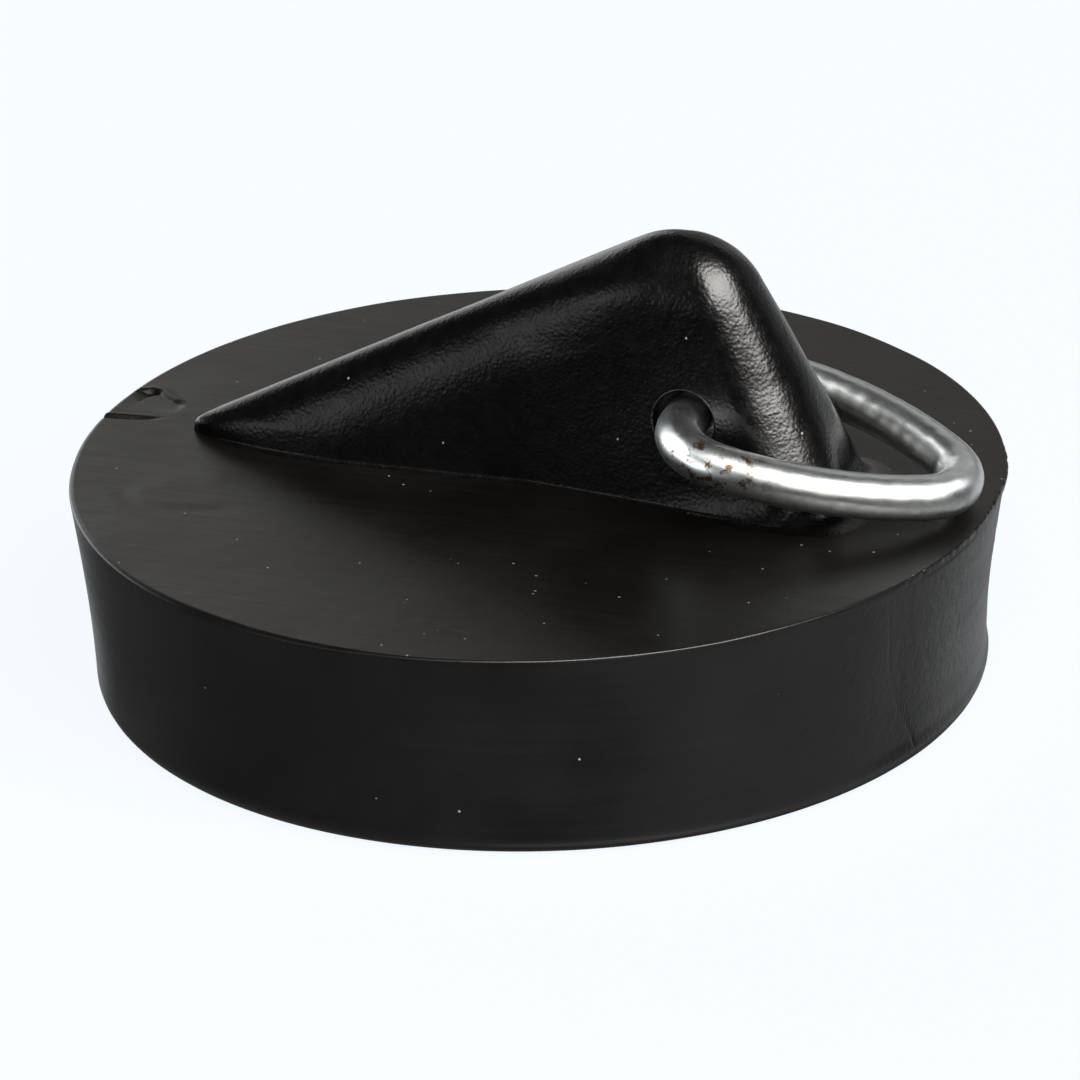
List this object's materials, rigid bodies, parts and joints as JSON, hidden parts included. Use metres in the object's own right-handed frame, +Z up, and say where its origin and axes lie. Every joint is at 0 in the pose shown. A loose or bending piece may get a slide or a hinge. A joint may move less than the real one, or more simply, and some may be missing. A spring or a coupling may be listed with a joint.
{
  "type": "sink plug",
  "caption": "Round black rubber sink plug with a wedge-shaped lug on top and a swinging steel wire pull ring, pushed into a basin waste to hold the water.",
  "frame": {"origin": "centre of the plug's flat underside", "axes": "+Z up, from the underside to the lug; +X along the lug, from its low tail to its steep end, where the ring lies at rest"},
  "size_m": [0.045, 0.045, 0.0234],
  "materials": {
    "rubber": "moulded black rubber, satin, with a fine leathery grain on the lug",
    "zinc_wire": "zinc-plated steel wire, satin, mottled and scuffed"
  },
  "bodies": {
    "plug": {"plug_body": "rubber"},
    "ring": {"pull_ring": "zinc_wire"}
  },
  "joints": [
    {"name": "ring_swing", "type": "hinge", "parent": "plug", "child": "ring", "pos_m": [0.00825, 0, 0.0147], "axis": [0, -1, 0], "range_deg": [0, 168]}
  ]
}
